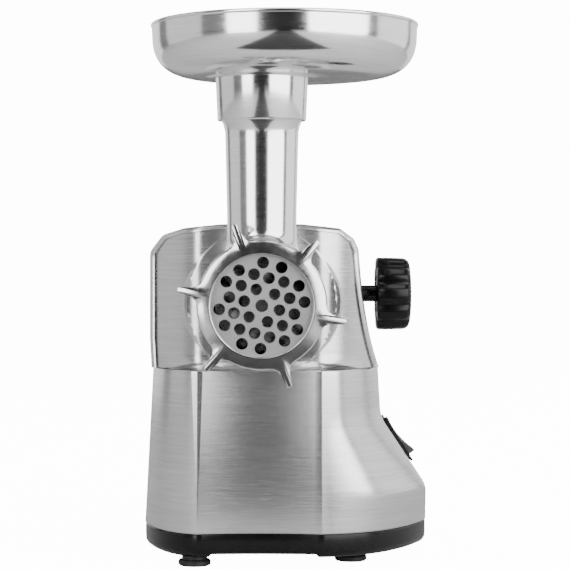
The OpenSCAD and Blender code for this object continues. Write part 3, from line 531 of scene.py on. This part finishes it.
def clamp_knob():
    bm = bmesh.new()
    n = 200
    # distance from the knob's inner face, radius, and how deep the grip's valleys are
    sections = [(0.0, HUB_R, 0.0), (0.0, 13.0, 0.0), (0.7, 14.0, 0.0), (0.7, 19.0, 0.2), (0.0, 20.4, 0.7),
                (0.25, 21.4, 1.0), (1.0, KNOB_R, 1.0), (8.0, KNOB_R, 1.0), (15.6, KNOB_R - 0.25, 1.0),
                (17.6, KNOB_R - 0.9, 0.9), (19.0, KNOB_R - 2.2, 0.7), (19.8, KNOB_R - 4.2, 0.4),
                (20.1, KNOB_R - 6.5, 0.15), (20.0, 12.5, 0.0), (19.5, 11.6, 0.0), (19.6, 10.8, 0.0),
                (20.0, 8.0, 0.0), (20.25, 4.0, 0.0), (20.3, 0.01, 0.0)]
    rows = []
    for depth, radius, lobes in sections:
        row = []
        for i in range(n):
            a = TAU * i / n
            valley = abs(math.sin(a * KNOB_LOBES / 2)) ** 5
            r = radius - LOBE_DEPTH * lobes * valley
            row.append(Vector((knob_low.x + depth, KNOB_Y + r * math.cos(a), KNOB_Z + r * math.sin(a))))
        rows.append(row)
    skin(bm, rows, around=True)
    return make_object("clamp_knob_moulding", bm, 40)


THREAD_PITCH = 1.5
THREAD_END = 38.5


def clamp_stem():
    """The clamp's screw: a threaded end, and a thicker shaft up to the knob."""
    bm = bmesh.new()
    profile = [(0.01, screw_low.x), (3.4, screw_low.x), (4.0, screw_low.x + 0.6)]
    x = screw_low.x + 1.0
    while x < THREAD_END:
        profile += [(3.98, x), (3.45, x + 0.6), (3.45, x + 0.8), (3.98, x + 1.4)]
        x += THREAD_PITCH
    profile += [(4.0, 40.0), (4.6, 40.2), (4.9, 40.6), (4.9, knob_low.x + 0.4), (HUB_R, knob_low.x + 0.4)]
    turn(bm, profile, along_x(KNOB_Y, KNOB_Z), 64)
    return make_object("clamp_stem", bm, 40)


done(clamp_knob(), "knob", KNOB_BLACK, "gloss_black", "clamp_knob")
done(clamp_stem(), "knob", BLACK, "black_plastic", "clamp_screw")


# ---- base: outlines ----
CORNER_R = 12.0                                 # the rounded rear corners of the housing
CORNER_X = 73                                   # their centre, to each side
CORNER_Y = 138                                  # and where they start
CORNER_STEPS = (CORNER_Y, 140, 142, 144, 145.5)
# the housing's right side from the seam up: upright foot, slope for the switch, waist and upper wall
RIGHT_SIDE = ([Vector((HALF_W, SEAM_Z)), Vector((HALF_W, 37))]
              + [Vector((HALF_W - 15 + 15 * math.cos(a), 37 + 15 * math.sin(a)))
                 for a in (math.radians(3.369 * i) for i in range(1, 11))]
              + [Vector((76.8 + 20 * math.cos(a), 89.8 + 20 * math.sin(a)))
                 for a in (math.radians(213.69 - 3.3 * i) for i in range(10))]
              + bezier((55.5, 113), (45, 140), (42.3, 184), 24))
# the upper housing from the top of that side over to the left and down
UPPER_LEFT = rounded([(39.4, 190.5), (31, 196.6), (8, TOP_Z), (-38, TOP_Z), (-60, 196.8), (-73, 193),
                      (-81, 183), (-81, 132), (-80, LEDGE_Z)], [5, 20, 30, 20, 8, 8, 20], 8)


def at_height(path, z):
    """The X where a rising path passes a height."""
    for a, b in zip(path, path[1:]):
        if a.y <= z <= b.y:
            return lerp(a.x, b.x, (z - a.y) / (b.y - a.y) if b.y > a.y else 0.0)
    return path[-1].x


def left_x(z):
    """The lower housing's left side at height z."""
    return lerp(-HALF_W, -80.0, (z - SEAM_Z) / (LEDGE_Z - SEAM_Z))


def back_limit(y):
    """Half the width that the rounded rear corners leave at y."""
    return CORNER_X + math.sqrt(max(CORNER_R ** 2 - max(y - CORNER_Y, 0.0) ** 2, 0.0))


FRONT_HOLLOW = 15.0     # four times the depth of the hollow between the creases


def facet_width(z):
    """The width of each of the two narrow facets beside the front's left crease."""
    return 0.02 + 3.3 * max(z - 22, 0.0) / (LEDGE_Z - 22)


def plan(z):
    """The lower housing cut at height z, from its left rear edge round the front to its right rear edge."""
    share = (z - SEAM_Z) / (LEDGE_Z - SEAM_Z)
    right, left = at_height(RIGHT_SIDE, z), left_x(z)
    start_left, start_right = lerp(5.0, 3.0, share), lerp(17.0, 8.0, smooth(share * 2.2))
    facet = facet_width(z)
    crease_y = FRONT_Y + 0.12 * facet
    points = [Vector((max(left, -back_limit(y)), y))
              for y in (SHELL_BACK, *reversed(CORNER_STEPS), 110, 80, 50, 25)]
    points += bezier((left, start_left), (lerp(left, CREASE_L, 0.28), -38),
                     (CREASE_L - facet, FRONT_Y + facet * 0.34), 18)
    points += [Vector((CREASE_L, crease_y)), Vector((CREASE_L + facet, crease_y))]
    points += [Vector((lerp(CREASE_L + facet, CREASE_R, t),
                       FRONT_Y + lerp(0.12 * facet, 0, t) + FRONT_HOLLOW * t * (1 - t)))
               for t in (i / 16 for i in range(1, 16))]
    points += [Vector((CREASE_R - 0.5, FRONT_Y + 0.05)), Vector((CREASE_R + 0.1, FRONT_Y + 0.06))]
    points += bezier((CREASE_R + 0.7, FRONT_Y + 0.3), (lerp(CREASE_R, right, 0.66), FRONT_Y + 5.5),
                     (right, start_right), 20)
    points += [Vector((min(right, back_limit(y)), y))
               for y in (*SWITCH_Y, 60, 90, 115, *CORNER_STEPS, SHELL_BACK)]
    return points


# the switch's middle, the slope it sits on, and the opening for it in the housing
SLOPE = math.radians(90 - math.degrees(math.atan2(82.6 - 60, 79 - 45.1)))
SWITCH_AT = Vector((67.5, 30.0, 67.9))
SWITCH_Y = (SWITCH_AT.y - 10.8, SWITCH_AT.y + 10.8)
SWITCH_Z = (SWITCH_AT.z - 14.2 * math.sin(SLOPE), SWITCH_AT.z + 14.2 * math.sin(SLOPE))


def face_depth(x):
    """How far back the recessed upper face lies at x, before the nose and the scoop."""
    left, right = CREASE_L - x, x - CREASE_R
    left, right = (t / 2 + math.sqrt(t * t + 6) / 2 for t in (left, right))
    return FACE_Y + 0.55 * left + 0.012 * left ** 2 + 0.42 * right + 0.013 * right ** 2


LEDGE_PLAN = plan(LEDGE_Z)
NOSE_R = 43.6           # the flat front of the round nose
SCOOP_H = 8.5           # the height over which the face sweeps out to the ledge


def ledge_front(x):
    """The lower housing's front at its top, at x."""
    for a, b in zip(LEDGE_PLAN, LEDGE_PLAN[1:]):
        if a.y < 60 and b.y < 60 and a.x <= x <= b.x and b.x > a.x:
            return lerp(a.y, b.y, (x - a.x) / (b.x - a.x))
    return 8.0


def face_point(x, z):
    """A point of the upper face: receding sides, a round nose, and a scoop out to the ledge."""
    radius = math.hypot(x - AXIS_X, z - AXIS_Z)
    nose = FACE_Y + 1.2 + max(radius - NOSE_R, 0.0) * 2.6
    y = smooth_min(face_depth(x), nose, 2.2)
    scoop = max(1 - (z - LEDGE_Z) / SCOOP_H, 0.0)
    if scoop > 0:
        front = min(ledge_front(x) + 0.9, y)
        y = lerp(y, front, 1 - math.sqrt(max(1 - min(scoop, 1.0) ** 2, 0.0)))
    return Vector((x, y, z))


def offset(path, amount):
    """An open path moved to its right-hand side."""
    out = []
    for i, p in enumerate(path):
        before, after = path[max(i - 1, 0)], path[min(i + 1, len(path) - 1)]
        d = (after - before).normalized()
        out.append(p + Vector((d.y, -d.x)) * amount)
    return out


# ---- base: lower housing ----
def on_facet_line(p):
    """Whether a point lies on one of the crisp lines beside the left crease."""
    lines = [CREASE_L + side * facet_width(p.z) for side in (-1, 0, 1)]
    return p.y < FRONT_Y + 4 and min(abs(p.x - line) for line in lines) < 0.15


SEAM_LIP = 2.2      # how far the folded lips at the seam and the ledge lie inside the wall
LEDGE_LIP = 2.0
LEDGE_ROUND = 0.9


def lower_shell():
    """The lower housing with its ledge, its folded lips and the opening for the switch."""
    bm = bmesh.new()
    levels = sorted([SEAM_Z, 20.6, 24, 28, 32, 37, *SWITCH_Z, 99, 104, 108, 111, 113, 113.8, 114.2, LEDGE_Z]
                    + [37 + 15 * math.sin(math.radians(4.82 * i)) for i in range(1, 8)]
                    + [lerp(46, 55, i / 3) for i in range(1, 4)] + [60, 64, 68, 72, 75.5, 81, 84, 87, 91, 95])
    rows = []
    for z in levels:
        pull = max(z - (LEDGE_Z - LEDGE_ROUND), 0.0) / LEDGE_ROUND
        inset = LEDGE_ROUND * (1 - math.sqrt(max(1 - pull * pull, 0.0))) + (0.35 if z < SEAM_Z + 0.3 else 0.0)
        rows.append([Vector((p.x, p.y, z)) for p in (offset(plan(z), -inset) if inset else plan(z))])
    under = offset(plan(SEAM_Z), -SEAM_LIP)
    rows.insert(0, [Vector((p.x, p.y, SEAM_Z)) for p in under])
    rows.insert(0, [Vector((p.x, p.y, SEAM_Z + 4)) for p in under])
    ledge = []
    for p in offset(plan(LEDGE_Z), -LEDGE_LIP):
        in_front = abs(p.x) < 79 and p.y < 60
        y = max(p.y, min(face_depth(p.x) + 2.2, 140)) if in_front else p.y
        ledge.append(Vector((p.x, y, LEDGE_Z)))
    rows.append(ledge)
    grid = [[bm.verts.new(p) for p in row] for row in rows]
    for i in range(len(grid) - 1):
        z0, z1 = rows[i][0].z, rows[i + 1][0].z
        for j in range(len(grid[0]) - 1):
            y0, y1 = rows[i][j].y, rows[i][j + 1].y
            hole = (rows[i][j].x > 0 and z0 > SWITCH_Z[0] - 0.1 and z1 < SWITCH_Z[1] + 0.1
                    and y0 > SWITCH_Y[0] - 0.1 and y1 < SWITCH_Y[1] + 0.1)
            if not hole:
                bm.faces.new([grid[i][j], grid[i][j + 1], grid[i + 1][j + 1], grid[i + 1][j]])
    housing = make_object("lower_housing", bm, 24)
    spots = [v.co / MM for v in housing.data.vertices]
    for edge in housing.data.edges:
        a, b = (spots[i] for i in edge.vertices)
        edge.use_edge_sharp |= abs(a.z - b.z) > abs(a.x - b.x) and on_facet_line(a) and on_facet_line(b)
    return housing


done(lower_shell(), "base", STEEL, "brushed_steel", "housing_shell")


# ---- base: upper housing, rim and panel ----
RIM = 3.2           # radius of the rounded rim round the recessed face
RIM_INNER = 0.25    # the rim's inner edge
PROUD = 0.35        # how far the rim stands in front of the face
OVER_LEDGE = [p for p in RIGHT_SIDE if p.y > LEDGE_Z] + UPPER_LEFT
SILHOUETTE = resample([Vector((at_height(RIGHT_SIDE, LEDGE_Z), LEDGE_Z))] + OVER_LEDGE, 220)


def rim_front(x, z):
    """The rim's depth at its inner edge."""
    centre = Vector((AXIS_X, AXIS_Z + 5))
    inner = Vector((x, z)) + (centre - Vector((x, z))).normalized() * 1.0
    return face_point(inner.x, max(inner.y, LEDGE_Z)).y


def upper_shell():
    """The upper housing: the rounded rim, then the walls back to the rear cover."""
    bm = bmesh.new()
    inner = offset(SILHOUETTE, -RIM)
    rows = []
    fronts = [rim_front(p.x, p.y) for p in inner]
    near = [fronts[max(i - 2, 0):i + 3] for i in range(len(fronts))]
    fronts = [sum(group) / len(group) for group in near]

    def row(path, depths):
        rows.append([Vector((p.x, y, max(p.y, LEDGE_Z))) for p, y in zip(path, depths)])

    for sink, in_by in ((6.0, 0.0), (0.2, 0.0), (-PROUD, RIM_INNER)):
        row(offset(inner, in_by), [f + sink for f in fronts])
    for a in (math.radians(15 * i) for i in range(1, 7)):
        row(offset(inner, RIM_INNER + (RIM - RIM_INNER) * math.sin(a)),
            [f - PROUD + (1 - math.cos(a)) * RIM for f in fronts])
    for share in (0.08, 0.2):
        row(SILHOUETTE, [lerp(f + RIM, -2, share) for f in fronts])
    for y in (6.0, 14, 40, 80, 115, *CORNER_STEPS, SHELL_BACK):
        rows.append([Vector((max(min(p.x, back_limit(y)), -back_limit(y)), max(y, f + RIM + 1.0), p.y))
                     for p, f in zip(SILHOUETTE, fronts)])
    skin(bm, rows)
    return make_object("upper_housing", bm, 30)


def upper_panel():
    """The recessed face, in rings from its outline in to the hole for the head."""
    bm = bmesh.new()
    inner = [Vector((p.x, max(p.y, LEDGE_Z))) for p in offset(SILHOUETTE, -RIM - 0.05)]
    low = resample([inner[-1], inner[0]], 130)[1:-1]
    border = resample(inner, 240) + low
    steps, hole = 40, 36.0
    middle = Vector((AXIS_X, AXIS_Z))
    rows = []
    for k in range(steps + 1):
        row = []
        for p in border:
            d = p - middle
            q = middle + d.normalized() * lerp(hole, d.length, k / steps)
            row.append(face_point(q.x, max(q.y, LEDGE_Z)))
        rows.append(row)
    rows.append([Vector((v.x, v.y + 3.0, v.z)) for v in rows[-1]])
    lip = []
    for v in rows[0]:
        inward = Vector((AXIS_X - v.x, 0, AXIS_Z - v.z)).normalized()
        lip.append(Vector((v.x, v.y + 0.5, v.z)) + inward * 0.35)
        v -= inward * 0.25
    rows.insert(0, lip)
    rows.insert(0, [Vector((v.x, FACE_Y + 9, v.z)) for v in lip])
    skin(bm, rows, around=True)
    return make_object("upper_panel", bm, 30)


done(upper_shell(), "base", STEEL, "brushed_steel")
# the recessed face takes the darker copy of the steel, which is painted shade
done(upper_panel(), "base", STEEL_SHADED_FACE, "brushed_steel", "front_panel")


# ---- base: skirt ----
NOTCH_Z = 8.6       # underside of the skirt between the front feet


def skirt():
    """The black skirt, rounded under, with a lip up inside the housing."""
    bm = bmesh.new()
    outline = plan(SEAM_Z)
    outline += [Vector((x, SHELL_BACK + 3 - (0 if abs(x) < 72 else 0.6)))
                for x in (79.0, 76.0, 73.0, 40.0, 0.0, -40.0, -73.0, -76.0, -79.0)]
    outline = resample(outline + [outline[0]], 300)[:-1]

    def row(z, inset):
        out = []
        for i, p in enumerate(outline):
            before, after = outline[i - 2], outline[(i + 2) % len(outline)]
            d = (after - before).normalized()
            q = p + Vector((d.y, -d.x)) * -inset
            notch = CREASE_L + 8 < q.x < CREASE_R - 2 and q.y < 0
            out.append(Vector((q.x, q.y, max(z, NOTCH_Z) if notch else z)))
        return out

    rows = [row(SEAM_Z + 3, 2.6), row(SEAM_Z - 0.1, 2.6), row(SEAM_Z - 0.1, 0.9), row(SEAM_Z - 0.5, 0.45),
            row(SEAM_Z - 1.2, 0.3), row(13.5, 0.3)]
    rows += [row(12 - 6 * math.sin(math.radians(a)), 0.3 + 5.6 * (1 - math.cos(math.radians(a))))
             for a in (15, 30, 45, 58, 70, 80, 90)]
    rows += [row(6.0, 8.4), row(8.5, 8.6)]
    skin(bm, rows, around=True)
    return make_object("skirt", bm, 38)


done(skirt(), "base", BLACK, "black_plastic", "base_skirt")


# ---- switch on the slope ----
def on_slope(x, y, z):
    """A point given along the slope, across it and out of it."""
    return Vector((SWITCH_AT.x + x * math.cos(SLOPE) + z * math.sin(SLOPE), SWITCH_AT.y + y,
                   SWITCH_AT.z - x * math.sin(SLOPE) + z * math.cos(SLOPE)))


def rounded_box(half_x, half_y, radius, n=6):
    """A rectangle with round corners, counter-clockwise."""
    out = []
    for cx, cy, start in ((1, 1, 0), (-1, 1, 90), (-1, -1, 180), (1, -1, 270)):
        for i in range(n + 1):
            a = math.radians(start + 90 * i / n)
            out.append((cx * (half_x - radius) + radius * math.cos(a),
                        cy * (half_y - radius) + radius * math.sin(a)))
    return out


def switch_bezel():
    """The switch's frame on the slope, and its well."""
    bm = bmesh.new()
    rows = []
    for inset, z in ((3.0, 0.15), (0.2, 0.15), (0.0, 0.5), (0.0, 1.2),
                     (0.25, 1.65), (0.7, 1.85), (1.4, 1.9), (1.7, 1.7)):
        rows.append([on_slope(x, y, z) for x, y in rounded_box(15.5 - inset, 12 - inset, 1.8)])
    for half_x, half_y, z in ((13.45, 9.45, 1.7), (13.3, 9.3, 1.2), (13.3, 9.3, -12.0)):
        rows.append([on_slope(x, y, z) for x, y in rounded_box(half_x, half_y, 0.6)])
    skin(bm, rows, around=True)
    return make_object("switch_bezel", bm, 40)


def end_caps(bm, grid):
    """Closes the first and the last row of a skin."""
    bm.faces.new(grid[0][::-1])
    bm.faces.new(grid[-1])


def switch_rocker():
    """The rocker with its hollow top, tipped to off, and the pin it turns on."""
    bm = bmesh.new()
    length, width, top, dip, depth = 25.4, 18.0, 4.7, 1.7, -5.0
    tilt = math.radians(-6)
    outline = [(-length / 2 + length * i / 28, top - dip + dip * (2 * i / 28 - 1) ** 2) for i in range(29)]
    outline += [(12.3, 0), (10.2, -4.5), (4, -9), (-4, -9), (-10.2, -4.5), (-12.3, 0)]
    path = rounded([outline[-1]] + outline + [outline[0]], [0] + [0.5] + [0] * 27 + [0.5] + [0] * 6, 4)[1:-1]

    def place(x, z, y):
        """A point of the tipped rocker, which turns at its depth below the slope."""
        z -= depth
        return on_slope(x * math.cos(tilt) + z * math.sin(tilt), y,
                        -x * math.sin(tilt) + z * math.cos(tilt) + depth)

    rows, centre = [], Vector((0, -2))
    for shrink, y in ((0.6, -width / 2), (0.18, -width / 2 + 0.15), (0.0, -width / 2 + 0.6),
                      (0.0, width / 2 - 0.6), (0.18, width / 2 - 0.15), (0.6, width / 2)):
        row = []
        for p in path:
            d = Vector(p) - centre
            q = centre + d * (1 - shrink / d.length)
            row.append(place(q.x, q.y, y))
        rows.append(row)
    end_caps(bm, skin(bm, rows, around=True))
    pin = [[place(u, depth + v, y) for u, v in circle(1.6, 24)] for y in (-10.2, -8.9, 8.9, 10.2)]
    end_caps(bm, skin(bm, pin, around=True))
    return make_object("switch_rocker_moulding", bm, 32)


done(switch_bezel(), "base", BLACK, "black_plastic")
done(switch_rocker(), "rocker", ROCKER_GREY, "grey_plastic", "switch_rocker")


# ---- softened edges on the pieces that keep their CAD shape ----
for name, width in (("rear_cover", 0.6), ("bottom_plate", 0.4), ("grinding_plate", 0.12),
                    ("drive_coupling", 0.3), ("head_socket", 0.4), ("cord_gland", 0.4),
                    ("gearbox_housing", 0.4), ("gearbox_cover", 0.4)):
    bevel(frame["nodes"][name], width)


# ---- camera ----
camera_data = bpy.data.cameras.new("camera")
camera = bpy.data.objects.new("camera", camera_data)
bpy.context.collection.objects.link(camera)
camera.location = (AXIS_X * MM, -1.145, 0.181)
camera.rotation_euler = (math.radians(90), 0, 0)
camera_data.sensor_width = 36
camera_data.lens = 120.4
camera_data.shift_x = 0.0407
camera_data.shift_y = -0.0526
camera_data.clip_end = 20
bpy.context.scene.camera = camera


# ---- studio, in metres: floor, backdrop light and soft boxes ----
MIDDLE = Vector((AXIS_X * MM, 0.0, 0.16))


def around(azimuth, distance, height):
    """A point round the object: azimuth 0 is in front of it, and grows to the right."""
    a = math.radians(azimuth)
    return MIDDLE + Vector((distance * math.sin(a), -distance * math.cos(a), height))


def card(name, centre, size, material):
    """A flat card that faces the object and that the camera can't see."""
    bm = bmesh.new()
    w, h = size[0] / 2, size[1] / 2
    bm.faces.new([bm.verts.new(p) for p in ((-w, -h, 0), (w, -h, 0), (w, h, 0), (-w, h, 0))])
    mesh = bpy.data.meshes.new(name)
    bm.to_mesh(mesh)
    bm.free()
    obj = bpy.data.objects.new(name, mesh)
    obj.data.materials.append(material)
    bpy.context.collection.objects.link(obj)
    obj.location = centre
    obj.rotation_euler = (MIDDLE - Vector(centre)).to_track_quat("Z", "Y").to_euler()
    obj.visible_camera = False
    return obj


def soft_box(name, centre, size, watts):
    """A large lamp that faces the object."""
    data = bpy.data.lights.new(name, "AREA")
    data.shape = "RECTANGLE"
    data.size, data.size_y = size
    data.energy = watts
    light = bpy.data.objects.new(name, data)
    bpy.context.collection.objects.link(light)
    light.location = centre
    light.rotation_euler = (MIDDLE - Vector(centre)).to_track_quat("-Z", "Y").to_euler()
    return light


def glow_for_camera(tree, strength_socket, seen, lit):
    """Sets a strength to one value for camera rays and another for every other ray."""
    path = tree.nodes.new("ShaderNodeLightPath")
    tree.links.new(ramp(tree, path.outputs["Is Camera Ray"], lit, seen, 0.0, 1.0), strength_socket)


BACKDROP = 14.0     # brightness of floor and backdrop as the camera sees them
FILL = 0.26         # the backdrop's light on the object
FLOOR_HALF = 6

floor_mesh = bpy.data.meshes.new("floor")
floor_mesh.from_pydata([(x * FLOOR_HALF, y * FLOOR_HALF, 0) for x, y in ((-1, -1), (1, -1), (1, 1), (-1, 1))],
                       [], [(0, 1, 2, 3)])
floor = bpy.data.objects.new("floor", floor_mesh)
bpy.context.collection.objects.link(floor)
floor_white, floor_tree, floor_shader = nodes_of("floor_white")
floor_shader.inputs["Base Color"].default_value = (0.55, 0.55, 0.55, 1)
floor_shader.inputs["Roughness"].default_value = 0.7
floor_shader.inputs["Emission Color"].default_value = (1, 1, 1, 1)
glow_for_camera(floor_tree, floor_shader.inputs["Emission Strength"], BACKDROP, 0.0)
floor_mesh.materials.append(floor_white)

world = bpy.data.worlds.new("studio")
bpy.context.scene.world = world
world.use_nodes = True
sky = world.node_tree.nodes["Background"]
sky.inputs["Color"].default_value = (1, 1, 1, 1)
glow_for_camera(world.node_tree, sky.inputs["Strength"], BACKDROP, FILL)

soft_box("right_box", around(45, 1.6, 0.25), (1.6, 2.2), 66)
soft_box("left_strip", around(-34.5, 1.6, 0.25), (0.72, 2.2), 29)
soft_box("left_side", around(-95, 1.5, 0.2), (1.3, 2.0), 6)
soft_box("right_side", around(105, 1.5, 0.2), (1.3, 2.0), 12)
soft_box("top_box", around(0, 0.3, 1.6), (1.4, 0.9), 14)
for side in (-1, 1):
    soft_box("rear_box", around(side * 150, 1.6, 0.25), (0.9, 2.0), 7).visible_camera = False

flag_black = nodes_of("flag_black")[0]
flag_shader = flag_black.node_tree.nodes["Principled BSDF"]
flag_shader.inputs["Base Color"].default_value = (0.015, 0.015, 0.015, 1)
flag_shader.inputs["Roughness"].default_value = 0.8
card("front_flag", around(0, 2.2, 0.2), (1.5, 2.8), flag_black)
card("floor_flag", (AXIS_X * MM, -1.25, 0.003), (0.42, 2.0), flag_black).rotation_euler = (0, 0, 0)
